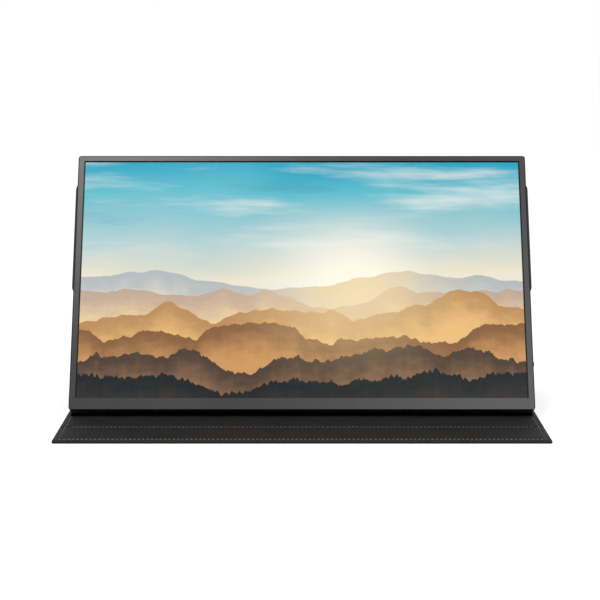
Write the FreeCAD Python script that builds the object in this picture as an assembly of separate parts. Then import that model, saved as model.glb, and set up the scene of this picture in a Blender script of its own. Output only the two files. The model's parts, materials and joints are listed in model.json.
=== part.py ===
import FreeCAD, Part
import math
import os

from FreeCAD import Placement, Rotation, Vector

# A portable monitor standing on its folded cover. Sizes are in millimetres and angles in degrees.
# X runs across the screen, Y from the cover's front edge to its back and Z up from the table.
# The origin is the middle of the footprint, on the table.

# Screen and borders
active_width = 344.16
active_height = 193.59
side_border = 5.62
top_border = 5.33
bottom_border = 9.14
lean_angle = 26.5

# Casing of the monitor
monitor_thickness = 8.4
monitor_corner_radius = 2.0
case_wall = 1.2
bezel_plate = 0.9
bezel_skirt = 1.6
back_wall = 1.0
bezel_edge_chamfer = 0.4
case_edge_round = 1.4
window_margin = 0.9
parting_gap = 0.05

# Layers of the display panel, from the glass to the tray
layer_gap = 0.05
glass_thickness = 1.0
film_thickness = 0.3
guide_thickness = 0.8
reflector_thickness = 0.2
tray_thickness = 0.3
panel_border = 2.2
led_strip_height = 1.4

# Driver board below the panel and the films that join it to the glass
driver_board_thickness = 0.6
driver_board_height = 12.0
driver_board_foot = 1.2
driver_length_share = 0.84
driver_film_width = 30.0
driver_film_thickness = 0.15
driver_film_grip = 2.0
driver_film_drop = 0.3
driver_film_shares = (-0.37, -0.18, 0.18, 0.37)

# Main board on the left
board_thickness = 0.8
board_edge_gap = 0.8
main_board_width = 58.0
main_board_height = 70.0
main_board_foot = 22.0
processor_size = 14.0
chip_height = 0.9
thermal_pad_thickness = 0.24
small_chip_size = 8.0
processor_shares = (0.62, 0.5)
small_chip_shares = ((0.36, 0.62), (0.36, 0.82), (0.62, 0.82), (0.62, 0.18))

# Sockets on the left side
port_gap = 0.15
port_recess = 0.2
socket_wall = 0.25
socket_back = 0.9
data_socket_width = 8.94
data_socket_height = 3.16
data_socket_length = 7.35
data_socket_corner_radius = 1.4
data_tongue_width = 6.69
data_tongue_height = 0.7
data_tongue_length = 4.45
data_socket_place = 38.0
data_socket_spacing = 16.0
video_socket_width = 11.2
video_socket_height = 3.1
video_socket_length = 7.5
video_socket_corner_radius = 0.6
video_tongue_width = 8.0
video_tongue_height = 0.6
video_tongue_length = 4.2
video_socket_place = 74.0

# Keys on the right side
key_length = 3.6
key_depth = 2.0
key_gap = 0.15
key_proud = 0.9
key_travel = 0.35
key_flange = 0.8
key_flange_rim = 0.6
power_key_place = 37.0
brighter_key_place = 52.0
dimmer_key_place = 60.0
switch_size = 3.0
switch_depth = 1.3
switch_body_length = 2.2
switch_plunger_length = 0.7
switch_plunger_size = 0.9
key_board_width = 9.0
key_board_margin = 6.0
key_round_share = 0.45

# Cables and speakers
cable_thickness = 0.2
display_cable_width = 8.0
display_cable_share = 0.75
key_cable_width = 5.0
cable_overlap = 6.0
connector_depth = 5.0
connector_width = 10.0
lead_width = 1.0
lead_thickness = 0.6
lead_spacing = 3.0
speaker_width = 28.0
speaker_height = 12.0
speaker_thickness = 2.6
speaker_foot = 11.0
speaker_place = 95.0
speaker_slot_width = 1.2
speaker_slot_share = 0.7
speaker_slot_count = 6
speaker_slot_round_share = 0.45

# Screws and magnets of the monitor
case_screw_shares = (-0.46, -0.28, -0.09, 0.09, 0.28, 0.46)
case_screw_edge = 3.6
case_screw_radius = 0.9
case_screw_length = 4.0
case_screw_head_radius = 1.6
case_screw_head_height = 0.8
case_boss_radius = 1.9
case_seat_height = 1.0
board_screw_radius = 0.8
board_screw_length = 2.0
board_screw_head_radius = 1.5
board_screw_head_height = 0.6
board_boss_radius = 2.4
board_screw_edge = 4.0
screw_gap = 0.1
magnet_width = 24.0
magnet_height = 8.0
case_magnet_thickness = 1.4
magnet_shares = (-0.4, 0.0, 0.4)

# Cover
cover_width = 360.3
cover_thickness = 3.0
cover_length = 208.0
cover_board_thickness = 1.2
cover_board_inset = 5.0
cover_edge_round = 0.7
cover_corner_radius = 7.5
front_corner_radius = 1.2
crease_reach = 3.6
crease_gap = 0.06
tongue_thickness = 1.0
board_fit = 0.1
magnet_fit = 0.1
panel_magnet_thickness = 1.0

# Where the cover holds the monitor
front_length = 76.2
bezel_rise = 5.6
seam_place = 43.6
seam_reach = 2.4
rear_panel_drop = 17.76
rear_panel_length = 99.7
rear_panel_gap = 0.3
spine_length = 17.0
spine_groove = 2.4

# Rail that the bottom edge stands on
rail_gap = 0.3
rail_bearing = 3.0
rail_front_run = 2.0
rail_back_run = 2.6
rail_round = 1.2
rail_end_inset = 4.0

# All cuts run this far past the faces they leave through
overrun = 2.0

# Sizes that follow from these
monitor_width = active_width + 2 * side_border
monitor_height = active_height + top_border + bottom_border
half_width = monitor_width / 2
half_active = active_width / 2
half_cover = cover_width / 2
half_sheet = cover_thickness / 2
bezel_depth = bezel_plate + bezel_skirt
back_inside = monitor_thickness - back_wall
inner_radius = max(monitor_corner_radius - case_wall, layer_gap)
wall_inside = half_width - case_wall
wall_top = monitor_height - case_wall
active_top = bottom_border + active_height
rear_panel_top = monitor_height - rear_panel_drop
fold_height = rear_panel_top - rear_panel_length
rear_panel_foot = fold_height + crease_reach
lean_sine = math.sin(math.radians(lean_angle))
lean_cosine = math.cos(math.radians(lean_angle))


# Basic shapes
def block(x0, x1, y0, y1, z0, z1):
    """A box between two corners."""
    return Part.makeBox(x1 - x0, y1 - y0, z1 - z0, Vector(x0, y0, z0))


def outline(x0, x1, y0, y1, radii):
    """A rectangle's face, with one radius for each corner, from the lower left round anticlockwise."""
    corners = (Vector(x0, y0), Vector(x1, y0), Vector(x1, y1), Vector(x0, y1))
    ways = (Vector(1, 0), Vector(0, 1), Vector(-1, 0), Vector(0, -1))
    edges = []
    pen = corners[0] + ways[0] * radii[0]
    for turn in range(1, len(corners) + 1):
        corner = corners[turn % len(corners)]
        radius = radii[turn % len(corners)]
        arriving = ways[turn - 1]
        leaving = ways[turn % len(corners)]
        start = corner - arriving * radius
        end = corner + leaving * radius
        edges.append(Part.LineSegment(pen, start).toShape())
        if radius > 0:
            centre = start + leaving * radius
            middle = centre + (arriving - leaving).normalize() * radius
            edges.append(Part.Arc(start, middle, end).toShape())
        pen = end
    return Part.Face(Part.Wire(edges))


def slab(x0, x1, y0, y1, z0, z1, radii):
    """A plate in X and Y with rounded corners."""
    face = outline(x0, x1, y0, y1, radii)
    face.translate(Vector(0, 0, z0))
    return face.extrude(Vector(0, 0, z1 - z0))


def even_slab(half, y0, y1, z0, z1, radius):
    """A plate centred across, with the same radius at all its corners."""
    return slab(-half, half, y0, y1, z0, z1, (radius,) * 4)


def side_bar(x0, x1, y, z, y_size, z_size, radius):
    """A bar along X with a rounded section, centred at y and z."""
    bar = slab(-y_size / 2, y_size / 2, -z_size / 2, z_size / 2, 0, x1 - x0, (radius,) * 4)
    bar.rotate(Vector(0, 0, 0), Vector(1, 1, 1), 120)
    bar.translate(Vector(x0, y, z))
    return bar


def disc(x, y, radius, z0, z1):
    """A round bar along Z."""
    return Part.makeCylinder(radius, z1 - z0, Vector(x, y, z0), Vector(0, 0, 1))


def edges_at(shape, level):
    """The edges that lie in the plane at one height."""
    near = layer_gap / 10
    boxes = [(edge, edge.BoundBox) for edge in shape.Edges]
    return [edge for edge, box in boxes if abs(box.ZMin - level) < near and abs(box.ZMax - level) < near]


def flat_run(points, width, z0, z1):
    """A flat cable that runs square from point to point."""
    runs = []
    for start, end in zip(points, points[1:]):
        x0, x1 = sorted((start[0], end[0]))
        y0, y1 = sorted((start[1], end[1]))
        across = width / 2
        if x0 == x1:
            runs.append(block(x0 - across, x1 + across, y0, y1, z0, z1))
        else:
            runs.append(block(x0, x1 + across, y0 - across, y0 + across, z0, z1))
    return runs[0].multiFuse(runs[1:]).removeSplitter() if len(runs) > 1 else runs[0]


def joined(shapes):
    """Several pieces fused into one solid."""
    return shapes[0].multiFuse(shapes[1:]).removeSplitter()


def without(shape, cutters):
    """A solid with a list of shapes cut away."""
    return shape.cut(Part.makeCompound(cutters)) if cutters else shape


# The monitor is drawn flat: Y runs up the screen from its bottom edge and Z out of its front face.
glass_front = bezel_plate + layer_gap
glass_back = glass_front + glass_thickness
film_front = glass_back + layer_gap
film_back = film_front + film_thickness
guide_front = film_back + layer_gap
guide_back = guide_front + guide_thickness
reflector_front = guide_back + layer_gap
reflector_back = reflector_front + reflector_thickness
tray_front = reflector_back + layer_gap
tray_back = tray_front + tray_thickness

panel_half = half_active + panel_border
panel_bottom = bottom_border - panel_border
panel_top = active_top + panel_border
tray_half = panel_half + layer_gap + tray_thickness
tray_bottom = panel_bottom - layer_gap - tray_thickness
tray_top = panel_top + layer_gap + tray_thickness

driver_front = tray_back + layer_gap
driver_back = driver_front + driver_board_thickness
port_depth = (tray_back + back_inside) / 2
board_front = port_depth - board_thickness / 2
board_back = port_depth + board_thickness / 2
key_level = board_front - switch_depth / 2
main_board_left = -wall_inside + board_edge_gap
main_board_right = main_board_left + main_board_width
main_board_top = main_board_foot + main_board_height
case_screw_places = [(share * monitor_width, case_screw_edge) for share in case_screw_shares]
case_seat = monitor_thickness - case_seat_height
case_boss_end = case_seat - case_seat_height

data_socket_places = (data_socket_place, data_socket_place + data_socket_spacing)
data_shell = (data_socket_width, data_socket_height, data_socket_length, data_socket_corner_radius)
video_shell = (video_socket_width, video_socket_height, video_socket_length, video_socket_corner_radius)
data_tongue = (data_tongue_width, data_tongue_height, data_tongue_length)
video_tongue = (video_tongue_width, video_tongue_height, video_tongue_length)
all_sockets = [(place, data_shell) for place in data_socket_places] + [(video_socket_place, video_shell)]

switch_reach = wall_inside - key_gap - key_flange - key_travel - layer_gap
key_board_right = switch_reach - switch_plunger_length
key_board_left = key_board_right - key_board_width
key_board_foot = power_key_place - switch_size / 2 - key_board_margin
key_board_top = dimmer_key_place + switch_size / 2 + key_board_margin
key_screw_places = [
    (key_board_left + board_screw_edge, key_board_foot + board_screw_edge),
    (key_board_left + board_screw_edge, key_board_top - board_screw_edge),
]
main_board_screw_places = [
    (x, y)
    for x in (main_board_left + board_screw_edge, main_board_right - board_screw_edge)
    for y in (main_board_foot + board_screw_edge, main_board_top - board_screw_edge)
]
board_screw_places = main_board_screw_places + key_screw_places
display_cable_middle = main_board_left + display_cable_share * main_board_width
driver_top = tray_bottom + driver_board_foot + driver_board_height
key_cable_height = (power_key_place + brighter_key_place) / 2
lead_heights = (key_cable_height + lead_spacing * 2, key_cable_height + lead_spacing * 3)


def screw(x, y, radius, length, head_radius, head_height, seat, way):
    """A screw whose head sits on the seat and whose shank runs along Z from it."""
    z0, z1 = sorted((-seat, -seat + way * length))
    h0, h1 = sorted((-seat, -seat - way * head_height))
    return joined([disc(x, y, radius, z0, z1), disc(x, y, head_radius, h0, h1)])


def front_bezel():
    """The grey front frame, with its skirt and the bosses that take the case screws."""
    outer = even_slab(half_width, 0, monitor_height, -bezel_depth, 0, monitor_corner_radius)
    outer = outer.makeChamfer(bezel_edge_chamfer, edges_at(outer, 0))
    hollow = even_slab(wall_inside, case_wall, wall_top, -bezel_depth - overrun, -bezel_plate, inner_radius)
    window = block(
        -half_active - window_margin,
        half_active + window_margin,
        bottom_border,
        active_top + window_margin,
        -bezel_depth,
        overrun,
    )
    bosses = [disc(x, y, case_boss_radius, -case_boss_end, -bezel_plate) for x, y in case_screw_places]
    holes = [
        disc(x, y, case_screw_radius, -case_boss_end - overrun, -case_seat + case_screw_length)
        for x, y in case_screw_places
    ]
    return without(joined([outer.cut(hollow).cut(window)] + bosses), holes)


def sockets_cut():
    """The openings in the left wall for the sockets."""
    cuts = []
    for place, (width, height, length, radius) in all_sockets:
        cuts.append(
            side_bar(
                -half_width - overrun,
                -wall_inside + overrun,
                place,
                -port_depth,
                width + 2 * port_gap,
                height + 2 * port_gap,
                radius + port_gap,
            )
        )
    return cuts


def keys_cut():
    """The openings in the right wall for the keys."""
    return [
        side_bar(
            wall_inside - overrun,
            half_width + overrun,
            place,
            -key_level,
            key_length + 2 * key_gap,
            key_depth + 2 * key_gap,
            key_depth * key_round_share + key_gap,
        )
        for place in (power_key_place, brighter_key_place, dimmer_key_place)
    ]


def speaker_slots():
    """The slots in the back behind the two speakers."""
    slot_length = speaker_height * speaker_slot_share
    slot_middle = speaker_foot + speaker_height / 2
    step = speaker_width / (speaker_slot_count + 1)
    cuts = []
    for side in (-1, 1):
        first = side * speaker_place - speaker_width / 2
        for number in range(speaker_slot_count):
            middle = first + step * (number + 1)
            cuts.append(
                slab(
                    middle - speaker_slot_width / 2,
                    middle + speaker_slot_width / 2,
                    slot_middle - slot_length / 2,
                    slot_middle + slot_length / 2,
                    -monitor_thickness - overrun,
                    -back_inside + overrun / 10,
                    (speaker_slot_width * speaker_slot_round_share,) * 4,
                )
            )
    return cuts


def rear_case():
    """The dark back shell: a tray with bosses, sockets' and keys' openings, slots and screw seats."""
    rim = -bezel_depth - parting_gap
    outer = even_slab(half_width, 0, monitor_height, -monitor_thickness, rim, monitor_corner_radius)
    outer = outer.makeFillet(case_edge_round, edges_at(outer, -monitor_thickness))
    hollow = even_slab(wall_inside, case_wall, wall_top, -back_inside, overrun, inner_radius)
    root = -back_inside - back_wall / 2
    seat_radius = case_boss_radius + case_wall / 2
    seats = [disc(x, y, seat_radius, root, -case_boss_end - parting_gap) for x, y in case_screw_places]
    bosses = [disc(x, y, board_boss_radius, root, -board_back) for x, y in board_screw_places]
    cuts = sockets_cut() + keys_cut() + speaker_slots()
    for x, y in case_screw_places:
        head_hole = case_screw_head_radius + screw_gap
        cuts.append(disc(x, y, head_hole, -monitor_thickness - overrun, -case_seat))
        cuts.append(disc(x, y, case_screw_radius + screw_gap, -monitor_thickness, overrun))
    for x, y in board_screw_places:
        cuts.append(disc(x, y, board_screw_radius, -board_front - board_screw_length, overrun))
    return without(joined([outer.cut(hollow)] + seats + bosses), cuts)


def panel_sheet(front, back, foot=0):
    """One layer of the display panel."""
    return block(-panel_half, panel_half, panel_bottom + foot, panel_top, -back, -front)


def panel_tray():
    """The thin metal pan behind the layers, with its rim up to the glass."""
    pan = block(-tray_half, tray_half, tray_bottom, tray_top, -tray_back, -film_front)
    inside = block(
        -panel_half - layer_gap,
        panel_half + layer_gap,
        panel_bottom - layer_gap,
        panel_top + layer_gap,
        -tray_front,
        overrun,
    )
    return pan.cut(inside)


def driver_board():
    """The long board that drives the glass, with the connector for the display cable."""
    half = monitor_width * driver_length_share / 2
    foot = tray_bottom + driver_board_foot
    board = block(-half, half, foot, foot + driver_board_height, -driver_back, -driver_front)
    connector = block(
        display_cable_middle - connector_width / 2,
        display_cable_middle + connector_width / 2,
        foot + driver_board_height - connector_depth,
        foot + driver_board_height,
        -board_front + cable_thickness,
        -driver_back,
    )
    return joined([board, connector])


def driver_films():
    """The films that turn round the tray's lower edge, from the glass to the driver board."""
    films = []
    low = tray_bottom - driver_film_drop
    front = -(glass_front + glass_back) / 2
    back = -driver_back - driver_film_thickness
    grip_end = tray_bottom + driver_board_foot + driver_film_grip
    for share in driver_film_shares:
        middle = share * monitor_width
        x0 = middle - driver_film_width / 2
        x1 = middle + driver_film_width / 2
        front_leg = block(x0, x1, low, panel_bottom, front - driver_film_thickness, front)
        turn = block(x0, x1, low - driver_film_thickness, low, back, front)
        back_leg = block(x0, x1, low, grip_end, back, -driver_back)
        films.append(joined([front_leg, turn, back_leg]))
    return Part.makeCompound(films)


def socket(place, shell_sizes):
    """A socket's metal shell, open to the left, closed at its inner end."""
    width, height, length, radius = shell_sizes
    mouth = -half_width + port_recess
    shell = side_bar(mouth, mouth + length, place, -port_depth, width, height, radius)
    hollow = side_bar(
        mouth - overrun,
        mouth + length - socket_back,
        place,
        -port_depth,
        width - 2 * socket_wall,
        height - 2 * socket_wall,
        radius - socket_wall,
    )
    return shell.cut(hollow)


def socket_tongue(place, tongue_sizes, shell_length):
    """The contact tongue inside a socket, fixed to the shell's inner end."""
    width, height, length = tongue_sizes
    root = -half_width + port_recess + shell_length - socket_back
    low = -port_depth - height / 2
    return block(root - length, root, place - width / 2, place + width / 2, low, low + height)


def board_screw_holes(places):
    """The holes that let the board screws through."""
    return [disc(x, y, board_screw_radius + screw_gap, -board_back - overrun, overrun) for x, y in places]


def main_board():
    """The board with the sockets, notched round them and holed for its screws."""
    board = block(
        main_board_left, main_board_right, main_board_foot, main_board_top, -board_back, -board_front
    )
    cuts = [
        block(
            main_board_left - overrun,
            -half_width + port_recess + length + port_gap,
            place - width / 2 - port_gap,
            place + width / 2 + port_gap,
            -board_back - overrun,
            overrun,
        )
        for place, (width, height, length, radius) in all_sockets
    ]
    return without(board, cuts + board_screw_holes(main_board_screw_places))


def on_main_board(shares, size, height):
    """A square chip on the front of the main board, at shares of its width and height."""
    x = main_board_left + shares[0] * main_board_width
    y = main_board_foot + shares[1] * main_board_height
    half = size / 2
    return block(x - half, x + half, y - half, y + half, -board_front, -board_front + height)


def thermal_pad():
    """The soft pad between the processor and the tray."""
    pad = on_main_board(processor_shares, processor_size, chip_height + thermal_pad_thickness)
    return pad.cut(on_main_board(processor_shares, processor_size + overrun, chip_height))


def key(place, proud):
    """One key: a rounded cap through the wall with a flange that keeps it in."""
    root = wall_inside - key_gap
    radius = key_depth * key_round_share
    flange_length = key_length + 2 * key_flange_rim
    cap = side_bar(root, half_width + proud, place, -key_level, key_length, key_depth, radius)
    flange = side_bar(root - key_flange, root, place, -key_level, flange_length, key_depth, radius)
    return joined([cap, flange])


def key_switch(place):
    """The small switch behind a key, one key travel away from it, on the front of the key board."""
    root = switch_reach - switch_plunger_length
    plunger = side_bar(
        root,
        switch_reach,
        place,
        -key_level,
        switch_plunger_size,
        switch_plunger_size,
        switch_plunger_size * key_round_share,
    )
    body = block(
        root - switch_body_length,
        root,
        place - switch_size / 2,
        place + switch_size / 2,
        -board_front,
        -board_front + switch_depth,
    )
    return joined([plunger, body])


def key_board():
    """The narrow board that carries the switches."""
    board = block(key_board_left, key_board_right, key_board_foot, key_board_top, -board_back, -board_front)
    return without(board, board_screw_holes(key_screw_places))


def speaker(side):
    """One speaker box on the back wall."""
    middle = side * speaker_place
    return block(
        middle - speaker_width / 2,
        middle + speaker_width / 2,
        speaker_foot,
        speaker_foot + speaker_height,
        -back_inside,
        -back_inside + speaker_thickness,
    )


def speaker_lead(side, height):
    """The lead from one speaker up and across to the main board."""
    start = (side * speaker_place, speaker_foot + speaker_height)
    bend = (side * speaker_place, height)
    end = (main_board_right, height)
    z1 = -port_depth + lead_thickness / 2
    return flat_run((start, bend, end), lead_width, z1 - lead_thickness, z1)


def magnet_bars(half, middles, z0, z1):
    """Bar magnets in rows, spread across at their shares of the width."""
    return [
        block(
            share * 2 * half - magnet_width / 2,
            share * 2 * half + magnet_width / 2,
            middle - magnet_height / 2,
            middle + magnet_height / 2,
            z0,
            z1,
        )
        for middle in middles
        for share in magnet_shares
    ]


display_cable = flat_run(
    (
        (display_cable_middle, driver_top - connector_depth),
        (display_cable_middle, main_board_foot + cable_overlap),
    ),
    display_cable_width,
    -board_front,
    -board_front + cable_thickness,
)
key_cable = flat_run(
    (
        (main_board_right - cable_overlap, key_cable_height),
        (key_board_left + board_screw_edge - key_cable_width / 2, key_cable_height),
    ),
    key_cable_width,
    -board_front,
    -board_front + cable_thickness,
)
led_strip = block(
    -panel_half, panel_half, panel_bottom, panel_bottom + led_strip_height, -guide_back, -guide_front
)
case_magnet_rows = (
    rear_panel_foot + cover_board_inset * 2 + magnet_height / 2,
    rear_panel_top - cover_board_inset * 2 - magnet_height / 2,
)

monitor = {
    "front_bezel": front_bezel(),
    "rear_case": rear_case(),
    "lcd_glass": panel_sheet(glass_front, glass_back),
    "optical_films": panel_sheet(film_front, film_back),
    "light_guide": panel_sheet(guide_front, guide_back, led_strip_height + layer_gap),
    "led_strip": led_strip,
    "reflector_sheet": panel_sheet(reflector_front, reflector_back),
    "panel_tray": panel_tray(),
    "driver_board": driver_board(),
    "driver_films": driver_films(),
    "main_board": main_board(),
    "processor_chip": on_main_board(processor_shares, processor_size, chip_height),
    "thermal_pad": thermal_pad(),
    "small_chips": Part.makeCompound(
        [on_main_board(shares, small_chip_size, chip_height) for shares in small_chip_shares]
    ),
    "data_socket_shells": Part.makeCompound(
        [socket(place, data_shell) for place in data_socket_places]
    ),
    "data_socket_tongues": Part.makeCompound(
        [socket_tongue(place, data_tongue, data_socket_length) for place in data_socket_places]
    ),
    "video_socket_shell": socket(video_socket_place, video_shell),
    "video_socket_tongue": socket_tongue(video_socket_place, video_tongue, video_socket_length),
    "display_cable": display_cable,
    "power_button": key(power_key_place, key_proud),
    "brighter_key": key(brighter_key_place, 0),
    "dimmer_key": key(dimmer_key_place, 0),
    "key_switches": Part.makeCompound(
        [key_switch(place) for place in (power_key_place, brighter_key_place, dimmer_key_place)]
    ),
    "key_board": key_board(),
    "key_cable": key_cable,
    "speaker_left": speaker(-1),
    "speaker_right": speaker(1),
    "speaker_leads": Part.makeCompound(
        [speaker_lead(side, height) for side, height in zip((-1, 1), lead_heights)]
    ),
    "case_screws": Part.makeCompound(
        [
            screw(
                x,
                y,
                case_screw_radius,
                case_screw_length,
                case_screw_head_radius,
                case_screw_head_height,
                case_seat,
                1,
            )
            for x, y in case_screw_places
        ]
    ),
    "board_screws": Part.makeCompound(
        [
            screw(
                x,
                y,
                board_screw_radius,
                board_screw_length,
                board_screw_head_radius,
                board_screw_head_height,
                board_front,
                -1,
            )
            for x, y in board_screw_places
        ]
    ),
    "case_magnets": Part.makeCompound(
        magnet_bars(half_width, case_magnet_rows, -back_inside, -back_inside + case_magnet_thickness)
    ),
}


# Each panel of the cover is drawn flat: Z is its thickness, with the lining up and the leather down.
def half_panel(y0, y1, radii, boards, way):
    """The leather (way -1) or the lining (way 1) of a panel, hollowed for its boards."""
    z0, z1 = sorted((0, way * half_sheet))
    sheet = slab(-half_cover, half_cover, y0, y1, z0, z1, radii)
    sheet = sheet.makeFillet(cover_edge_round, edges_at(sheet, way * half_sheet))
    pockets = []
    for board_y0, board_y1 in boards:
        p0, p1 = sorted((0, way * (cover_board_thickness / 2 + layer_gap)))
        pockets.append(
            block(
                -half_cover + cover_board_inset - board_fit,
                half_cover - cover_board_inset + board_fit,
                board_y0 - board_fit,
                board_y1 + board_fit,
                p0,
                p1,
            )
        )
    return without(sheet, pockets)


def tongue(half, y0, y1, way):
    """The thin hem that runs from a panel's end to its crease."""
    z0, z1 = sorted((0, way * tongue_thickness / 2))
    return block(-half, half, y0, y1, z0, z1)


def stiffener(y0, y1, magnet_rows):
    """A board between leather and lining, with windows for the bar magnets."""
    board = block(
        -half_cover + cover_board_inset,
        half_cover - cover_board_inset,
        y0,
        y1,
        -cover_board_thickness / 2,
        cover_board_thickness / 2,
    )
    windows = [
        block(
            share * cover_width - magnet_width / 2 - magnet_fit,
            share * cover_width + magnet_width / 2 + magnet_fit,
            row - magnet_height / 2 - magnet_fit,
            row + magnet_height / 2 + magnet_fit,
            -cover_thickness,
            cover_thickness,
        )
        for row in magnet_rows
        for share in magnet_shares
    ]
    return without(board, windows)


def panel_magnets(magnet_rows):
    """The bar magnets in a stiffener's windows."""
    half = panel_magnet_thickness / 2
    return Part.makeCompound(magnet_bars(half_cover, magnet_rows, -half, half))


def crease(half, y):
    """The rolled leather edge that a fold turns on."""
    return Part.makeCylinder(half_sheet, 2 * half, Vector(-half, y, 0), Vector(1, 0, 0))


def placed(shape, place):
    """A copy of a shape moved from its flat drawing to its place."""
    moved = shape.copy()
    moved.Placement = place.multiply(moved.Placement)
    return moved


crease_half = half_cover - cover_corner_radius
seam_half = half_cover - cover_edge_round
roll_clear = half_sheet + crease_gap
front_edge = -(cover_length + half_sheet) / 2
rear_axis = front_edge + cover_length
seam_axis = front_edge + seam_place
bezel_foot = Vector(0, front_edge + front_length, cover_thickness + bezel_rise)
case_foot = bezel_foot + Vector(0, lean_cosine, -lean_sine) * monitor_thickness
fold_offset = monitor_thickness + rear_panel_gap + half_sheet
fold_axis = bezel_foot + Vector(0, lean_sine, lean_cosine) * fold_height
fold_axis = fold_axis + Vector(0, lean_cosine, -lean_sine) * fold_offset
strut_reach = fold_axis - Vector(0, rear_axis, half_sheet)
strut_length = strut_reach.Length
strut_angle = math.degrees(math.atan2(strut_reach.z, strut_reach.y))

screen_place = Placement(bezel_foot, Rotation(Vector(1, 0, 0), 90 - lean_angle))
rear_panel_place = screen_place.multiply(Placement(Vector(0, 0, -fold_offset), Rotation()))
strut_place = Placement(Vector(0, rear_axis, half_sheet), Rotation(Vector(1, 0, 0), strut_angle))
table_place = Placement(Vector(0, 0, half_sheet), Rotation())

# Rear panel, held to the monitor's back
rear_boards = [(rear_panel_foot + cover_board_inset, rear_panel_top - cover_board_inset)]
rear_panel = {
    "rear_panel_board": stiffener(*rear_boards[0], case_magnet_rows),
    "rear_panel_magnets": panel_magnets(case_magnet_rows),
}
for name, way in (("rear_panel_leather", -1), ("rear_panel_lining", 1)):
    sheet = half_panel(rear_panel_foot, rear_panel_top, (cover_corner_radius,) * 4, rear_boards, way)
    rear_panel[name] = joined([sheet, tongue(crease_half, fold_height + roll_clear, rear_panel_foot, way)])

# Strut and spine, one sheet with a groove between them where the spine folds
strut_start = crease_reach
strut_end = strut_length - crease_reach
groove_start = spine_length - spine_groove / 2
groove_end = spine_length + spine_groove / 2
strut_boards = [
    (strut_start + cover_board_inset, groove_start - board_fit * 2),
    (groove_end + board_fit * 2, strut_end - cover_board_inset),
]
strut = {
    "spine_board": stiffener(*strut_boards[0], ()),
    "strut_board": stiffener(*strut_boards[1], ()),
    "back_crease": crease(crease_half, strut_length),
}
for name, way in (("strut_leather", -1), ("strut_lining", 1)):
    sheet = half_panel(strut_start, strut_end, (cover_corner_radius,) * 4, strut_boards, way)
    g0, g1 = sorted((way * tongue_thickness / 2, way * (half_sheet + overrun)))
    groove = block(-half_cover - overrun, half_cover + overrun, groove_start, groove_end, g0, g1)
    low_tongue = tongue(crease_half, roll_clear, strut_start, way)
    high_tongue = tongue(crease_half, strut_end, strut_length - roll_clear, way)
    strut[name] = joined([sheet.cut(groove), low_tongue, high_tongue])

# Base panel on the table, from the seam to the rear crease
base_start = seam_axis + seam_reach
base_end = rear_axis - crease_reach
base_boards = [(base_start + cover_board_inset, base_end - cover_board_inset)]
base_magnet_rows = (case_foot.y,)
base = {
    "base_board": stiffener(*base_boards[0], base_magnet_rows),
    "base_magnets": panel_magnets(base_magnet_rows),
    "rear_crease": crease(crease_half, rear_axis),
    "flap_crease": crease(seam_half, seam_axis),
}
for name, way in (("base_leather", -1), ("base_lining", 1)):
    sheet = half_panel(base_start, base_end, (0, 0) + (cover_corner_radius,) * 2, base_boards, way)
    seam_tongue = tongue(seam_half, seam_axis + roll_clear, base_start, way)
    rear_tongue = tongue(crease_half, base_end, rear_axis - roll_clear, way)
    base[name] = joined([sheet, seam_tongue, rear_tongue])

# Front flap, from the front edge to the seam
flap_end = seam_axis - seam_reach
flap_boards = [(front_edge + cover_board_inset, flap_end - cover_board_inset)]
flap_magnet_rows = (front_edge + cover_board_inset * 2 + magnet_height / 2,)
flap = {
    "flap_board": stiffener(*flap_boards[0], flap_magnet_rows),
    "flap_magnets": panel_magnets(flap_magnet_rows),
}
for name, way in (("flap_leather", -1), ("flap_lining", 1)):
    sheet = half_panel(front_edge, flap_end, (front_corner_radius,) * 2 + (0, 0), flap_boards, way)
    flap[name] = joined([sheet, tongue(seam_half, flap_end, seam_axis - roll_clear, way)])


def rest_rail():
    """The low rail on the base whose slanted top carries the monitor's bottom edge."""
    along = Vector(0, -lean_cosine, lean_sine)
    low = case_foot - Vector(0, lean_sine, lean_cosine) * rail_gap
    high = low + along * rail_bearing
    heel = Vector(0, low.y + rail_back_run, cover_thickness)
    toe = Vector(0, high.y - rail_front_run, cover_thickness)
    section = Part.Face(Part.makePolygon([heel, low, high, toe, heel]))
    half = half_cover - rail_end_inset
    section.translate(Vector(-half, 0, 0))
    bar = section.extrude(Vector(2 * half, 0, 0))
    nose = [edge for edge in bar.Edges if edge.BoundBox.ZMin > high.z - layer_gap]
    return bar.makeFillet(rail_round, nose)


groups = (
    (monitor, screen_place),
    (rear_panel, rear_panel_place),
    (strut, strut_place),
    (base, table_place),
    (flap, table_place),
    ({"rest_rail": rest_rail()}, Placement()),
)
os.makedirs("parts", exist_ok=True)
for pieces, place in groups:
    for name, shape in pieces.items():
        placed(shape, place).exportStep(f"parts/{name}.step")
print("strut fold axis", rear_axis, half_sheet)
print("monitor fold axis", fold_axis.y, fold_axis.z)
print("strut angle", strut_angle, "strut length", strut_length)
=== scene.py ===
import bmesh
import bpy
import json
import math

from mathutils import Matrix, Vector


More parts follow.
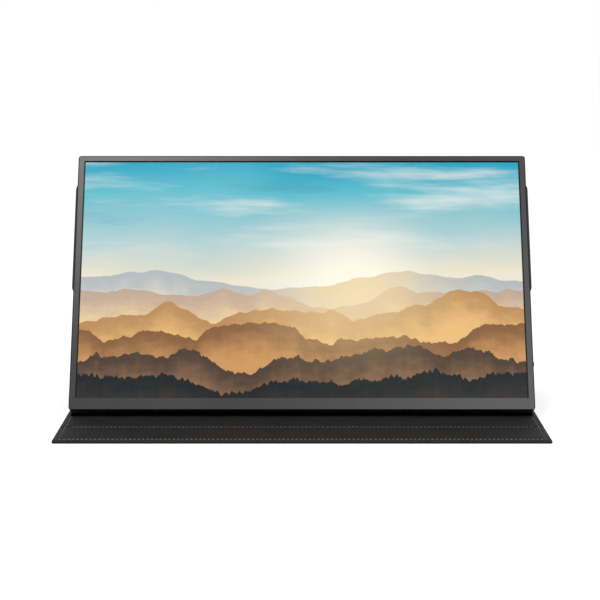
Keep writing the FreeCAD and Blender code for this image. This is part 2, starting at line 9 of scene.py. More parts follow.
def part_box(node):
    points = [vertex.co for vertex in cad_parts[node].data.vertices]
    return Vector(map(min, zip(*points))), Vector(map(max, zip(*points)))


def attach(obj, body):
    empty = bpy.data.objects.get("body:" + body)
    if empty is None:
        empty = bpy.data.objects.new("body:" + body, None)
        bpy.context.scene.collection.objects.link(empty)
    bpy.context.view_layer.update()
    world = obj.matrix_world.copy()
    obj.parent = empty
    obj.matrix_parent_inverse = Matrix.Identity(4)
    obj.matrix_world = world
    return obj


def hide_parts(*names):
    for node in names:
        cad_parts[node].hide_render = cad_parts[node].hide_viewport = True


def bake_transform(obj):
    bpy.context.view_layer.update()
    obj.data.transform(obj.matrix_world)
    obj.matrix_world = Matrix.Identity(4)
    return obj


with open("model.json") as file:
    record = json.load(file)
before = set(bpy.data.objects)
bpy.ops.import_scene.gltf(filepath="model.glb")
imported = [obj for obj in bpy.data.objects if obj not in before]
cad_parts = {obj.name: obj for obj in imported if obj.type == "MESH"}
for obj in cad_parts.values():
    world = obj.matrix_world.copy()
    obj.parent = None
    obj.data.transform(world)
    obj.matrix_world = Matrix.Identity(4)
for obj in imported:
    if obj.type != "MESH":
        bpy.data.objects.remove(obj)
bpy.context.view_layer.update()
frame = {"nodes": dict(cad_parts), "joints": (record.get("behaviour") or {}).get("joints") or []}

# Base of the cover: a wide board under the monitor and a narrow one in the front flap, wrapped in coated
# black leather above and below. The two skins are glued and sewn through along the edge, and a pressed, sewn
# line crosses them where the flap folds up.
mm = 0.001
fold_place = {joint["name"]: Vector(joint["pos_m"]) for joint in frame["joints"] if "pos_m" in joint}
seam = fold_place["flap_fold"]
rear_fold = fold_place["strut_fold"]
cover_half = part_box("base_leather")[1][0]
front_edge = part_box("flap_leather")[0][1]
fold_reach = 3.6 * mm
seam_reach = 2.4 * mm
seam_press_share = 0.34
back_corner = 7.5 * mm
front_corner = 1.2 * mm
least_corner = 0.15 * mm
# How far in from the edge the paler border reaches: part rubbed wear, part painted sheen.
wear_and_sheen_reach = 5.4 * mm
sewn_inset = 4.2 * mm
sewn_level = 0.98 * mm
stitch_pitch = 3.16 * mm
stitch_reach_share = 0.42
side_pull_share = 0.45
border_thread = 0.33 * mm
seam_thread = 0.2 * mm
leather_dark = (0.0055, 0.0055, 0.0057, 1)
leather_light = (0.02, 0.02, 0.0204, 1)
leather_grains = 820.0
leather_gloss = 0.13
leather_relief = 0.3 * mm
thread_dark = (0.1, 0.1, 0.103, 1)
thread_light = (0.2, 0.2, 0.205, 1)
thread_relief = 0.1 * mm
# How far in from the edge, and how far above the middle plane, from the flat face out to the glue line.
edge_profile = [
    (8.2 * mm, 1.50 * mm),
    (6.8 * mm, 1.47 * mm),
    (5.9 * mm, 1.37 * mm),
    (5.1 * mm, 1.25 * mm),
    (4.5 * mm, 1.06 * mm),
    (3.9 * mm, 1.06 * mm),
    (3.3 * mm, 1.28 * mm),
    (1.8 * mm, 1.30 * mm),
    (0.9 * mm, 1.18 * mm),
    (0.4 * mm, 0.94 * mm),
    (0.12 * mm, 0.62 * mm),
    (0.0, 0.16 * mm),
    (0.12 * mm, 0.0),
]


class Shade:
    """One output in a material's node tree. Sums of values add Math nodes, and node() adds any other node."""

    def __init__(self, tree, socket=None):
        self.tree = tree
        self.socket = socket

    def feed(self, node, sockets):
        for key, value in sockets.items():
            if isinstance(value, Shade):
                self.tree.links.new(value.socket, node.inputs[key])
            else:
                node.inputs[key].default_value = value

    def node(self, kind, settings, sockets, out=0):
        node = self.tree.nodes.new(kind)
        for name, value in settings.items():
            if name == "stops":
                while len(node.color_ramp.elements) < len(value):
                    node.color_ramp.elements.new(1)
                for element, (position, colour) in zip(node.color_ramp.elements, value):
                    element.position = position
                    element.color = colour
            else:
                setattr(node, name, value)
        self.feed(node, sockets)
        return Shade(self.tree, node.outputs[out])

    def math(self, operation, *others):
        return self.node("ShaderNodeMath", {"operation": operation}, dict(enumerate((self,) + others)))

    def __add__(self, other):
        return self.math("ADD", other)

    def __sub__(self, other):
        return self.math("SUBTRACT", other)

    def __rsub__(self, other):
        return self * -1 + other

    def __mul__(self, other):
        return self.math("MULTIPLY", other)

    def __truediv__(self, other):
        return self.math("DIVIDE", other)

    def __pow__(self, other):
        return self.math("POWER", other)

    __radd__ = __add__
    __rmul__ = __mul__

    def rise(self, low, high):
        """Goes smoothly from 0 at low to 1 at high."""
        sockets = {"Value": self, "From Min": low, "From Max": high}
        return self.node("ShaderNodeMapRange", {"interpolation_type": "SMOOTHSTEP"}, sockets)

    def mix(self, first, second):
        """One colour where this is 0 and another where it is 1."""
        return self.node("ShaderNodeMix", {"data_type": "RGBA"}, {0: self, 6: first, 7: second}, out=2)


def new_finish(name):
    """A new material: the start of its node tree, its surface shader and its place on the object."""
    material = bpy.data.materials.new(name)
    material.use_nodes = True
    start = Shade(material.node_tree)
    place = start.node("ShaderNodeTexCoord", {}, {}, out="Object")
    return material, start, material.node_tree.nodes["Principled BSDF"], place


def noise(place, scale, detail=2.0):
    """Cloudy variation, from 0 to 1, with so many spots to the metre."""
    return place.node("ShaderNodeTexNoise", {}, {"Vector": place, "Scale": scale, "Detail": detail})


def bump(height, depth, strength):
    """A surface normal from a height that goes from 0 to 1."""
    sockets = {"Height": height, "Distance": depth, "Strength": strength}
    return height.node("ShaderNodeBump", {}, sockets, out="Normal")


def leather_finish(name, dark, light, grains, gloss):
    """Coated split leather: pebbled grain, a fine pore, uneven gloss and a paler border, partly rubbed wear
    and partly painted sheen.
    """
    material, start, surface, place = new_finish(name)
    pores_per_grain = 4
    cells = {"Vector": place, "Scale": grains, "Smoothness": 0.35}
    pebble = start.node("ShaderNodeTexVoronoi", {"feature": "SMOOTH_F1"}, cells, out="Distance")
    pore = noise(place, scale=grains * pores_per_grain)
    cloud = noise(place, scale=38.0, detail=3.0)
    wear_and_painted_sheen = start.node("ShaderNodeAttribute", {"attribute_name": "border"}, {}, out="Fac")
    # The paler border in the tone is part rubbed wear and part painted sheen.
    tone = (cloud - 0.5) * 0.9 + (0.55 - pebble) * 1.3 + wear_and_painted_sheen * 0.6
    height = (0.8 - pebble) * 0.8 + pore * 0.25 + cloud * 0.6
    start.feed(surface, {
        "Base Color": tone.rise(-0.35, 1.15).mix(dark, light),
        "Roughness": 0.7 - wear_and_painted_sheen * 0.08 + (pore - 0.5) * 0.16 + (cloud - 0.5) * 0.1,
        "Specular IOR Level": gloss,
        "Normal": bump(height, depth=leather_relief, strength=0.8),
    })
    return material


def thread_finish():
    """Twisted polyester thread, dark grey with a paler twist."""
    material, start, surface, place = new_finish("sewing_thread")
    twist = noise(place, scale=2600.0)
    start.feed(surface, {
        "Base Color": twist.rise(0.3, 0.7).mix(thread_dark, thread_light),
        "Roughness": 0.5 + twist * 0.3,
        "Normal": bump(twist, depth=thread_relief, strength=0.5),
    })
    return material


def panel_outline(y_start, y_end, radii, inset, corner_steps=8):
    """Points round a panel, drawn in from its edge, anticlockwise from the lower left corner."""
    points = []
    for turn, (x_side, y_side) in enumerate(((-1, -1), (1, -1), (1, 1), (-1, 1))):
        radius = max(radii[turn] - inset, least_corner)
        x = x_side * (cover_half - inset - radius)
        y = (y_start if y_side < 0 else y_end) - y_side * (inset + radius)
        for step in range(corner_steps + 1):
            angle = math.pi + (turn + step / corner_steps) * math.pi / 2
            points.append(Vector((x + radius * math.cos(angle), y + radius * math.sin(angle), 0)))
    return points


def close_rings(mesh, rings):
    """Joins rings of points into a closed skin: faces from ring to ring and a cap on both ends."""
    count = len(rings[0])
    for first, second in zip(rings, rings[1:]):
        for place in range(count):
            after = (place + 1) % count
            mesh.faces.new((first[place], first[after], second[after], second[place]))
    mesh.faces.new(rings[0])
    mesh.faces.new(rings[-1])


def panel(y_start, y_end, radii):
    """A board wrapped in leather, flat, with its crowned and sewn border on both faces."""
    mesh = bmesh.new()
    border = mesh.verts.layers.float.new("border")
    profile = edge_profile + [(inset, -height) for inset, height in reversed(edge_profile[:-1])]
    rings = []
    for inset, height in profile:
        ring = []
        for point in panel_outline(y_start, y_end, radii, inset):
            vert = mesh.verts.new((point.x, point.y, height))
            vert[border] = max(0, 1 - inset / wear_and_sheen_reach)
            ring.append(vert)
        rings.append(ring)
    close_rings(mesh, rings)
    bmesh.ops.recalc_face_normals(mesh, faces=mesh.faces[:])
    return mesh


def press_line(mesh, y, reach, share, rows=6):
    """Presses a line across a panel into both its faces, by a share of its thickness."""
    for step in range(-rows, rows + 1):
        whole = mesh.verts[:] + mesh.edges[:] + mesh.faces[:]
        level = Vector((0, y + reach * step / rows, 0))
        bmesh.ops.bisect_plane(mesh, geom=whole, plane_co=level, plane_no=Vector((0, 1, 0)))
    for vert in mesh.verts:
        nearness = max(0, 1 - ((vert.co.y - y) / reach) ** 2)
        vert.co.z *= 1 - share * nearness ** 2


def dressed(mesh, name, material, place):
    """A finished object from a mesh that was drawn flat, moved to its place on the part."""
    data = bpy.data.meshes.new(name)
    mesh.transform(place)
    mesh.to_mesh(data)
    mesh.free()
    data.materials.append(material)
    data.shade_smooth()
    piece = bpy.data.objects.new(name, data)
    bpy.context.scene.collection.objects.link(piece)
    return piece


def stitch(mesh, middle, way, face, level, strand):
    """One slanted stitch on one face, arched over the leather and diving into it at both ends."""
    slant = 0.6
    arch = 0.9
    dive = 1.7
    bluntness = 1.05
    sides = 5
    across = Vector((-way.y, way.x, 0))
    along = way + across * slant * face
    turns = [2 * math.pi * side / sides for side in range(sides)]
    spokes = [across * math.cos(turn) + Vector((0, 0, math.sin(turn))) for turn in turns]
    rings = []
    for share in (-1.0, -0.45, 0.45, 1.0):
        lift = level + strand * (arch - dive * share * share)
        heart = middle + along * share * stitch_pitch * stitch_reach_share + Vector((0, 0, face * lift))
        radius = strand * math.sqrt(bluntness - share * share)
        rings.append([mesh.verts.new(heart + spoke * radius) for spoke in spokes])
    close_rings(mesh, rings)


def sew(mesh, path, level, thread, closed):
    """A row of stitches along a path, on both faces. Along the sides the thread is pulled tighter."""
    ends = path + path[:1] if closed else path
    runs = [(start, end - start) for start, end in zip(ends, ends[1:])]
    total = sum(run.length for start, run in runs)
    count = round(total / stitch_pitch)
    walked = 0.0
    number = 0
    for start, run in runs:
        way = run.normalized()
        strand = thread * (1 - side_pull_share * abs(way.y))
        while number < count and (number + 0.5) * total / count <= walked + run.length:
            middle = start + way * ((number + 0.5) * total / count - walked)
            for face in (1, -1):
                stitch(mesh, middle, way, face, level, strand)
            number += 1
        walked += run.length
    bmesh.ops.recalc_face_normals(mesh, faces=mesh.faces[:])
    return mesh


def sewn_border(y_start, y_end, radii):
    """The row of stitches round a panel's border, as a mesh drawn flat."""
    path = panel_outline(y_start, y_end, radii, sewn_inset)
    return sew(bmesh.new(), path, sewn_level, border_thread, closed=True)


cover_leather = leather_finish("cover_leather", leather_dark, leather_light, leather_grains, leather_gloss)
sewing_thread = thread_finish()

base_end = rear_fold.y - fold_reach
base_radii = (front_corner, front_corner, back_corner, back_corner)
table_level = Matrix.Translation((0, 0, seam.z))
base_mesh = panel(front_edge, base_end, base_radii)
press_line(base_mesh, seam.y, seam_reach, seam_press_share)
base_skins = dressed(base_mesh, "base_skins", cover_leather, table_level)
base_thread = sewn_border(front_edge, base_end, base_radii)
seam_half = cover_half - 2 * sewn_inset
seam_path = [Vector((-seam_half, seam.y, 0)), Vector((seam_half, seam.y, 0))]
seam_level = edge_profile[0][1] * (1 - seam_press_share)
sew(base_thread, seam_path, seam_level, seam_thread, closed=False)
base_stitches = dressed(base_thread, "base_stitches", sewing_thread, table_level)
for piece in (base_skins, base_stitches):
    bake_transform(piece)
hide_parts("base_leather", "base_lining", "flap_leather", "flap_lining", "flap_crease")


# Rear fold: the leather skins without a board between them, rolled over where the base turns up into the
# strut. They run on into both panels.
back_fold = fold_place["monitor_fold"]
fold_half = cover_half - back_corner
strut_way = (back_fold - rear_fold).normalized()
fold_roll = 1.5 * mm
fold_end_half = 0.6 * mm
fold_neck = 2.0 * mm
fold_grip = 5.0 * mm
neck_share = 0.8
tuck_share = 0.55
tuck_width = 0.8 * mm
bend_steps = 10


def fold_strip(name, axis, first_way, second_way, node):
    """A strip of leather bent over a fold's axis, from inside one panel's end to inside the other's."""
    inward = (first_way + second_way).normalized()
    half_angle = first_way.angle(second_way) / 2
    outward = []
    for way in (first_way, second_way):
        square = Vector((0, -way.z, way.y))
        outward.append(square if square.dot(inward) < 0 else -square)
    first_out, second_out = outward
    section = [
        first_way * fold_grip + first_out * fold_end_half,
        first_way * fold_neck + first_out * fold_roll * neck_share,
    ]
    section += [first_out.slerp(second_out, step / bend_steps) * fold_roll for step in range(bend_steps + 1)]
    section += [
        second_way * fold_neck + second_out * fold_roll * neck_share,
        second_way * fold_grip + second_out * fold_end_half,
        second_way * fold_grip - second_out * fold_end_half,
        inward * (fold_end_half / math.sin(half_angle)),
        first_way * fold_grip - first_out * fold_end_half,
    ]
    mesh = bmesh.new()
    mesh.verts.layers.float.new("border")
    heart = sum(section, Vector()) / len(section)
    columns = []
    tucks = ((-1, 0, tuck_share), (-1, tuck_width, 1), (1, tuck_width, 1), (1, 0, tuck_share))
    for side, inset, tuck in tucks:
        x = side * (fold_half - inset)
        points = [axis + heart + (point - heart) * tuck + Vector((x, 0, 0)) for point in section]
        columns.append([mesh.verts.new(point) for point in points])
    close_rings(mesh, columns)
    bmesh.ops.recalc_face_normals(mesh, faces=mesh.faces[:])
    strip = dressed(mesh, name, cover_leather, Matrix.Identity(4))
    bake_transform(strip)
    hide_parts(node)


fold_strip("rear_fold_strip", rear_fold, Vector((0, -1, 0)), strut_way, "rear_crease")


# Strut: the panel that props the monitor up from behind. A narrow spine board and a wide board share one pair
# of skins, with a pressed line between them, sewn round the edge as the base is.
spine_length = 17.0 * mm
spine_reach = 2.6 * mm
spine_press_share = 0.55
strut_end = (back_fold - rear_fold).length - fold_reach
strut_corners = (back_corner,) * 4


def frame_at(origin, along):
    """The place of a panel drawn flat: its Y runs along a direction from the origin."""
    across = Vector((1, 0, 0))
    out = across.cross(along)
    rows = zip(across, along, out, origin)
    return Matrix([list(row) for row in rows] + [[0, 0, 0, 1]])


strut_place = frame_at(rear_fold, strut_way)
strut_mesh = panel(fold_reach, strut_end, strut_corners)
press_line(strut_mesh, spine_length, spine_reach, spine_press_share)
strut_skins = dressed(strut_mesh, "strut_skins", cover_leather, strut_place)
strut_thread = sewn_border(fold_reach, strut_end, strut_corners)
strut_stitches = dressed(strut_thread, "strut_stitches", sewing_thread, strut_place)
for piece in (strut_skins, strut_stitches):
    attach(piece, "strut")
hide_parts("strut_leather", "strut_lining")


# Back fold: the same rolled leather where the strut's top turns back into the panel that holds the monitor.
pull_way = Vector(next(joint["axis"] for joint in frame["joints"] if joint["name"] == "monitor_pull"))
screen_up = pull_way.cross(Vector((1, 0, 0)))
fold_strip("back_fold_strip", back_fold, -strut_way, screen_up, "back_crease")


# Rear panel: a board with bar magnets inside that hold the monitor's back, with leather behind it and a
# smooth coated lining in front. The ends of the lining show as two tabs beside the monitor.
lining_dark = (0.008, 0.008, 0.0082, 1)
lining_light = (0.016, 0.016, 0.0163, 1)
lining_relief = 0.03 * mm
panel_lining, start, surface, place = new_finish("panel_lining")
nap = noise(place, scale=2400.0, detail=3.0)
start.feed(surface, {
    "Base Color": nap.rise(0.3, 0.7).mix(lining_dark, lining_light),
    "Roughness": 0.36 + (nap - 0.5) * 0.14,
    "Specular IOR Level": 0.4,
    "Normal": bump(nap, depth=lining_relief, strength=0.3),
})
rear_panel_leather = frame["nodes"]["rear_panel_leather"].data.vertices
rear_panel_end = max((vert.co - back_fold).dot(screen_up) for vert in rear_panel_leather)
rear_panel_place = frame_at(back_fold, screen_up)
rear_panel_mesh = panel(fold_reach, rear_panel_end, strut_corners)
for face in rear_panel_mesh.faces:
    face.material_index = int(face.calc_center_median().z > 0)
rear_panel_skins = dressed(rear_panel_mesh, "rear_panel_skins", cover_leather, rear_panel_place)
rear_panel_skins.data.materials.append(panel_lining)
rear_panel_thread = sewn_border(fold_reach, rear_panel_end, strut_corners)
rear_panel_stitches = dressed(rear_panel_thread, "rear_panel_stitches", sewing_thread, rear_panel_place)
for piece in (rear_panel_skins, rear_panel_stitches):
    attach(piece, "rear_panel")
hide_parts("rear_panel_leather", "rear_panel_lining")


# Boards and magnets inside the cover: pressed grey-brown fibre board with windows, and nickel-plated bar
# magnets glued into them.
small_relief = 0.05 * mm
panels = ("base", "flap", "strut", "spine", "rear_panel")
fibre_boards = [f"{name}_board" for name in panels]
magnets = ("base_magnets", "flap_magnets", "rear_panel_magnets", "case_magnets")


def put_on(node, material):
    """Gives a CAD node its finish."""
    slots = frame["nodes"][node].data.materials
    slots.clear()
    slots.append(material)


def wear(name, nodes, dark, light, spots, rough, metal=0.0):
    """A finish for small parts: two tones in spots, uneven gloss and a faint relief, put on CAD nodes."""
    material, start, surface, place = new_finish(name)
    spot = noise(place, scale=spots, detail=3.0)
    start.feed(surface, {
        "Base Color": spot.rise(0.3, 0.7).mix(dark, light),
        "Roughness": rough + (spot - 0.5) * 0.2,
        "Metallic": metal,
        "Normal": bump(spot, depth=small_relief, strength=0.3),
    })
    for node in nodes:
        put_on(node, material)


wear("fibre_board", fibre_boards, spots=900.0, rough=0.85,
     dark=(0.3, 0.25, 0.19, 1), light=(0.42, 0.36, 0.28, 1))
wear("nickel_plate", magnets, spots=1500.0, rough=0.3, metal=1.0,
     dark=(0.48, 0.47, 0.45, 1), light=(0.6, 0.59, 0.57, 1))


# Rest rail: a firm strip glued to the base and covered in dull black coated cloth, painted near-black as
# painted shade for the gap under the monitor's edge. The monitor's bottom edge stands on its slanted top.
# Painted shade: the cloth's colour is set near-black for the shadow under the monitor's edge.
rail_shade_dark = (0.001, 0.001, 0.001, 1)
rail_shade_light = (0.003, 0.003, 0.003, 1)
rail_painted_shade = leather_finish("rail_painted_shade", rail_shade_dark, rail_shade_light, grains=1100.0, gloss=0.0)
put_on("rest_rail", rail_painted_shade)


# Rear case of the monitor: a moulded black shell with a fine spark-eroded texture, slots for the speakers
# along the bottom, and blackened screws in their seats.
case_dark = (0.014, 0.014, 0.015, 1)
case_light = (0.026, 0.026, 0.028, 1)
case_relief = 0.06 * mm
case_material, start, surface, place = new_finish("case_plastic")
grit = noise(place, scale=3200.0, detail=3.0)
flow = noise(place, scale=16.0)
start.feed(surface, {
    "Base Color": ((grit - 0.5) * 0.6 + flow).rise(0.2, 0.8).mix(case_dark, case_light),
    "Roughness": 0.56 + (grit - 0.5) * 0.2 + (flow - 0.5) * 0.08,
    "Normal": bump(grit, depth=case_relief, strength=0.4),
})
put_on("rear_case", case_material)
wear("screw_black", ("case_screws", "board_screws"), spots=2500.0, rough=0.35, metal=1.0,
     dark=(0.03, 0.03, 0.03, 1), light=(0.09, 0.09, 0.09, 1))


# Inside the monitor: the layers of the lit panel in a pressed steel tray, the green boards with black chips,
# amber films and white flat cables between them, and two boxed speakers with their leads.
boards = ("main_board", "driver_board", "key_board", "led_strip")
black_parts = ("processor_chip", "small_chips", "key_switches", "speaker_left", "speaker_right")
wear("tray_steel", ["panel_tray"], spots=260.0, rough=0.35, metal=1.0,
     dark=(0.5, 0.5, 0.51, 1), light=(0.64, 0.64, 0.65, 1))
wear("white_film", ["optical_films", "reflector_sheet"], spots=60.0, rough=0.4,
     dark=(0.82, 0.83, 0.84, 1), light=(0.92, 0.92, 0.93, 1))
wear("clear_guide", ["light_guide"], spots=400.0, rough=0.15,
     dark=(0.78, 0.83, 0.85, 1), light=(0.88, 0.92, 0.94, 1))
wear("solder_mask", boards, spots=700.0, rough=0.35,
     dark=(0.01, 0.1, 0.04, 1), light=(0.03, 0.2, 0.09, 1))
wear("moulded_black", black_parts, spots=1800.0, rough=0.6,
     dark=(0.015, 0.015, 0.015, 1), light=(0.05, 0.05, 0.05, 1))
wear("amber_film", ["driver_films"], spots=500.0, rough=0.3,
     dark=(0.32, 0.14, 0.02, 1), light=(0.5, 0.25, 0.06, 1))
wear("flat_cable", ["display_cable", "key_cable"], spots=600.0, rough=0.5,
     dark=(0.66, 0.66, 0.64, 1), light=(0.82, 0.82, 0.8, 1))
wear("lead_sleeve", ["speaker_leads"], spots=900.0, rough=0.55,
     dark=(0.02, 0.02, 0.02, 1), light=(0.06, 0.06, 0.06, 1))
wear("soft_pad", ["thermal_pad"], spots=1200.0, rough=0.8,
     dark=(0.38, 0.42, 0.48, 1), light=(0.5, 0.54, 0.6, 1))


# Sockets on the left side: drawn steel shells soldered to the main board, each with a black tongue that
# carries gilt contacts in a row.
contact_pitch = 0.5 * mm
contact_share = 0.55
contact_fade_share = 0.05
tongue_black = (0.015, 0.015, 0.016, 1)
contact_gilt = (0.72, 0.5, 0.2, 1)
shells = ("data_socket_shells", "video_socket_shell")
wear("socket_steel", shells, spots=1400.0, rough=0.28, metal=1.0,
     dark=(0.5, 0.5, 0.5, 1), light=(0.66, 0.66, 0.67, 1))


def reach(place, way):
    """How far a point lies along a direction."""
    return place.node("ShaderNodeVectorMath", {"operation": "DOT_PRODUCT"}, {0: place, 1: way}, out="Value")


tongue_material, start, surface, place = new_finish("contact_tongue")
pitch_share = (reach(place, screen_up) / contact_pitch).math("FRACT")
gilt = pitch_share.rise(contact_share - contact_fade_share, contact_share)
start.feed(surface, {
    "Base Color": gilt.mix(tongue_black, contact_gilt),
    "Metallic": gilt,
    "Roughness": 0.5 - gilt * 0.2,
})
for node in ("data_socket_tongues", "video_socket_tongue"):
    put_on(node, tongue_material)


# Keys on the right side: satin moulded caps, each kept in by a flange behind the wall. The power key stands
# proud of the case, and the other two are flush with it.
keys = ("power_button", "brighter_key", "dimmer_key")
wear("key_plastic", keys, spots=2200.0, rough=0.42,
     dark=(0.02, 0.02, 0.021, 1), light=(0.05, 0.05, 0.052, 1))


# Screen: the front glass of the lit panel, with an anti-glare etch and a black printed border. It shows a
# made-up view of misty ridges at sunrise.
panel_border = 2.2 * mm
glass_points = [vert.co.dot(screen_up) for vert in frame["nodes"]["lcd_glass"].data.vertices]
picture_foot = min(glass_points) + panel_border
picture_height = max(glass_points) - panel_border - picture_foot
picture_half = (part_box("lcd_glass")[1][0] - panel_border) / picture_height
picture_fade = 0.0006
foot_fade = 0.01
glass_black = (0.004, 0.004, 0.005, 1)
unlit = (0, 0, 0, 1)
glass_material, start, surface, place = new_finish("screen_glass")
# Places in the picture: x from its middle and y from its foot, both in heights of the picture.
x = reach(place, Vector((1, 0, 0))) / picture_height
y = (reach(place, screen_up) - picture_foot) / picture_height


def flat_noise(x, y, scale, detail, seed):
    """Noise in the picture's own plane."""
    spot = x.node("ShaderNodeCombineXYZ", {}, {"X": x, "Y": y, "Z": seed})
    sockets = {"Vector": spot, "Scale": scale, "Detail": detail, "Roughness": 0.55}
    return x.node("ShaderNodeTexNoise", {}, sockets)


def paint(red, green, blue):
    """A colour as it shows on a screen, from 0 to 255, as the light that makes it."""
    return tuple((part / 255) ** 2.2 for part in (red, green, blue)) + (1,)


glow_x = 0.2
glow_y = 0.47
glow_squash = 1.25
glow_heart = 0.02
glow_rim = 0.62
glow_distance = ((x - glow_x) ** 2 + ((y - glow_y) * glow_squash) ** 2) ** 0.5
glow = 1 - glow_distance.rise(glow_heart, glow_rim)
sky_stops = [
    (0.36, paint(246, 205, 140)),
    (0.5, paint(240, 226, 196)),
    (0.66, paint(178, 206, 208)),
    (0.84, paint(92, 186, 202)),
    (1.0, paint(20, 160, 190)),
]
bright_cloud = paint(226, 232, 228)
deep_sky = paint(60, 150, 172)
sun_white = paint(255, 249, 232)
sun_gold = paint(255, 226, 170)
sky_sway = 0.22
sky_warp = (flat_noise(x * 0.5, y, scale=3.0, detail=3.0, seed=1.7) - 0.5) * sky_sway
sky = start.node("ShaderNodeValToRGB", {"stops": sky_stops}, {"Fac": y + sky_warp}, out="Color")
streaks = flat_noise(x * 0.35 + y * 0.2, y * 2.6, scale=3.4, detail=6.0, seed=4.2)
sky = (streaks.rise(0.48, 0.74) * 0.75).mix(sky, bright_cloud)
sky = (streaks.rise(0.42, 0.22) * y.rise(0.5, 0.9) * 0.55).mix(sky, deep_sky)
picture = (glow ** 2.0).mix(sky, sun_white)
# Ridges from the farthest to the nearest: crest height, its swing, its width, its jags, colour and mist.
ridges = [
    (0.50, 0.16, 1.5, 0.004, paint(176, 184, 186), paint(222, 214, 198)),
    (0.43, 0.18, 2.0, 0.006, paint(190, 166, 146), paint(238, 208, 160)),
    (0.35, 0.20, 2.3, 0.010, paint(184, 138, 86), paint(236, 188, 120)),
    (0.27, 0.20, 2.8, 0.016, paint(132, 92, 56), paint(206, 150, 92)),
    (0.18, 0.18, 3.2, 0.026, paint(74, 58, 46), paint(140, 104, 74)),
    (0.08, 0.16, 2.6, 0.040, paint(20, 28, 30), paint(58, 52, 46)),
]
first_seed = 0.9
seed_step = 2.3
jag_seed = 5.1
mist_seed = 9.4
mist_depth = 0.17
mist_sway = 0.11
far_light = 0.75
light_loss = 0.1
crest_fade = 0.004
for number, (crest, swing, width, jags, near, mist) in enumerate(ridges):
    seed = seed_step * number + first_seed
    line = (flat_noise(x, x * 0, scale=width, detail=3.0, seed=seed) - 0.5) * swing * 2 + crest
    line = line + (flat_noise(x, x * 0, scale=46.0, detail=4.0, seed=seed + jag_seed) - 0.5) * jags * 2
    below = line - y
    texture = flat_noise(x, y * 1.8, scale=16.0, detail=6.0, seed=seed + mist_seed)
    slope = (below + (texture - 0.5) * mist_sway).rise(0.0, mist_depth).mix(near, mist)
    lit = (glow ** 1.5 * (far_light - light_loss * number)).mix(slope, sun_gold)
    picture = below.rise(0.0, crest_fade).mix(picture, lit)
inside = x.math("ABSOLUTE").rise(picture_half, picture_half - picture_fade)
inside = inside * y.rise(1.0, 1.0 - picture_fade) * y.rise(-foot_fade, 0.0)
etch = noise(place, scale=4200.0)
start.feed(surface, {
    "Base Color": glass_black,
    "Roughness": 0.38 + (etch - 0.5) * 0.1,
    "Specular IOR Level": 0.12,
    "Emission Color": inside.mix(unlit, picture),
    "Emission Strength": 1.0,
})
put_on("lcd_glass", glass_material)


# Front bezel: a pressed aluminium frame, blasted and anodised dark grey to a satin gloss on its face. The rim
# of the face, the chamfer and the sides are painted nearly black as painted shade, which also darkens the
# underside. Six screws from the back hold it to the case.
rim_width = 0.7 * mm
rim_fade = 0.2 * mm
bezel_relief = 0.02 * mm
bezel_dark = (0.039, 0.039, 0.0396, 1)
bezel_light = (0.045, 0.045, 0.0456, 1)
# Painted shade: near-black for the rim of the face, the chamfer, the sides and the underside.
rim_painted_shade = (0.01, 0.01, 0.0101, 1)
bezel_points = [vert.co for vert in frame["nodes"]["front_bezel"].data.vertices]
bezel_half = max(point.x for point in bezel_points)
bezel_top = max(point.dot(screen_up) for point in bezel_points)
bezel_front = max(point.dot(pull_way) for point in bezel_points)
bezel_material, start, surface, place = new_finish("bezel_metal")
blast = noise(place, scale=5200.0)
bloom = noise(place, scale=22.0, detail=3.0)
grey = (bloom * 0.7 + blast * 0.3).rise(0.25, 0.75).mix(bezel_dark, bezel_light)
from_side = bezel_half - reach(place, Vector((1, 0, 0))).math("ABSOLUTE")
from_top = bezel_top - reach(place, screen_up)
# Painted shade: everything but the face inside its rim takes the near-black colour, standing in for the shade
# on the rim, chamfer, sides and underside.
on_face = reach(place, pull_way).rise(bezel_front - rim_fade, bezel_front - rim_fade / 2)
for inset in (from_side, from_top):
    on_face = on_face * inset.rise(rim_width, rim_width + rim_fade)
start.feed(surface, {
    "Base Color": on_face.mix(rim_painted_shade, grey),
    "Metallic": 1.0,
    "Roughness": 0.326 + (blast - 0.5) * 0.1 + (bloom - 0.5) * 0.06,
    "Normal": bump(blast, depth=bezel_relief, strength=0.25),
})
put_on("front_bezel", bezel_material)


# Studio: a plain white floor under a white sky, a large soft box overhead and a small one to each side. The
# camera stands in front, a little above the screen's top.
floor_half = 30.0
floor_grey = (0.6, 0.6, 0.6, 1)
floor_glow = (0.525, 0.525, 0.525, 1)
sky_light = 0.8
sky_gain = 0.2
camera_place = (-0.00145, -1.3298, 0.2963)
camera_pitch = math.radians(81.121)
sensor_width_mm = 36.0
lens_mm = 104.92


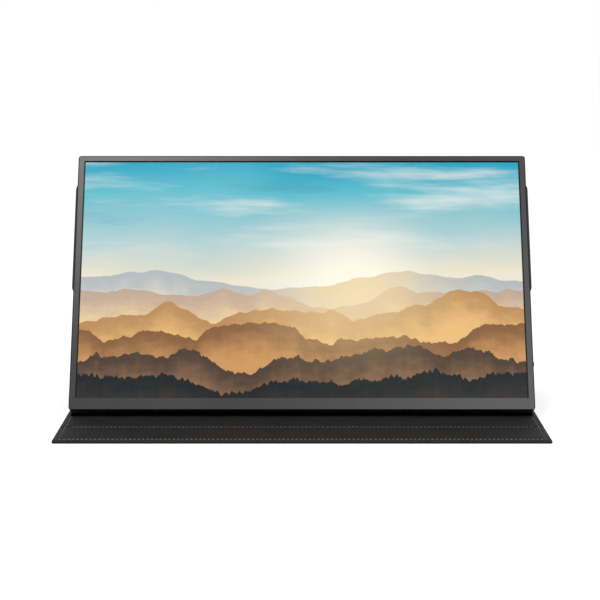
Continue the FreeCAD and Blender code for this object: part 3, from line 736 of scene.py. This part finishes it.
def seen(start):
    """1 for what the camera sees, also in a gloss or through glass, and 0 for light that falls on things."""
    light_path = start.tree.nodes.new("ShaderNodeLightPath")
    ray_kinds = ("Is Camera Ray", "Is Glossy Ray", "Is Transmission Ray")
    return sum(Shade(start.tree, light_path.outputs[kind]) for kind in ray_kinds).math("MINIMUM", 1.0)


floor_mesh = bmesh.new()
bmesh.ops.create_grid(floor_mesh, x_segments=1, y_segments=1, size=floor_half)
floor_material, start, surface, place = new_finish("studio_floor")
start.feed(surface, {
    "Base Color": floor_grey,
    "Roughness": 0.9,
    "Specular IOR Level": 0.0,
    "Emission Color": seen(start).mix(unlit, floor_glow),
    "Emission Strength": 1.0,
})
floor = dressed(floor_mesh, "studio_floor", floor_material, Matrix.Identity(4))

world = bpy.data.worlds.new("studio_sky")
world.use_nodes = True
bpy.context.scene.world = world
start = Shade(world.node_tree)
start.feed(world.node_tree.nodes["Background"], {
    "Color": (1, 1, 1, 1),
    "Strength": seen(start) * sky_gain + sky_light,
})


def soft_box(name, place, target, width, height, power):
    """A rectangular studio light that faces a point."""
    light = bpy.data.lights.new(name, "AREA")
    light.shape = "RECTANGLE"
    light.size = width
    light.size_y = height
    light.energy = power
    lamp = bpy.data.objects.new(name, light)
    lamp.location = place
    lamp.rotation_euler = (Vector(target) - Vector(place)).to_track_quat("-Z", "Y").to_euler()
    bpy.context.scene.collection.objects.link(lamp)


soft_box("top_box", place=(0.0, -0.6, 2.2), target=(0.0, 0.0, 0.1), width=2.0, height=1.4, power=10.0)
soft_box("left_box", place=(-0.256, -0.556, 0.963), target=(-0.15, 0.06, 0.19),
         width=0.32, height=0.32, power=2.87)
soft_box("right_box", place=(0.363, -0.961, 0.797), target=(0.15, -0.02, 0.03),
         width=0.43, height=0.43, power=2.19)

camera_data = bpy.data.cameras.new("front_camera")
camera_data.sensor_width = sensor_width_mm
camera_data.lens = lens_mm
camera = bpy.data.objects.new("front_camera", camera_data)
camera.location = camera_place
camera.rotation_euler = (camera_pitch, 0, 0)
bpy.context.scene.collection.objects.link(camera)
bpy.context.scene.camera = camera
bpy.context.scene.view_settings.view_transform = "Standard"
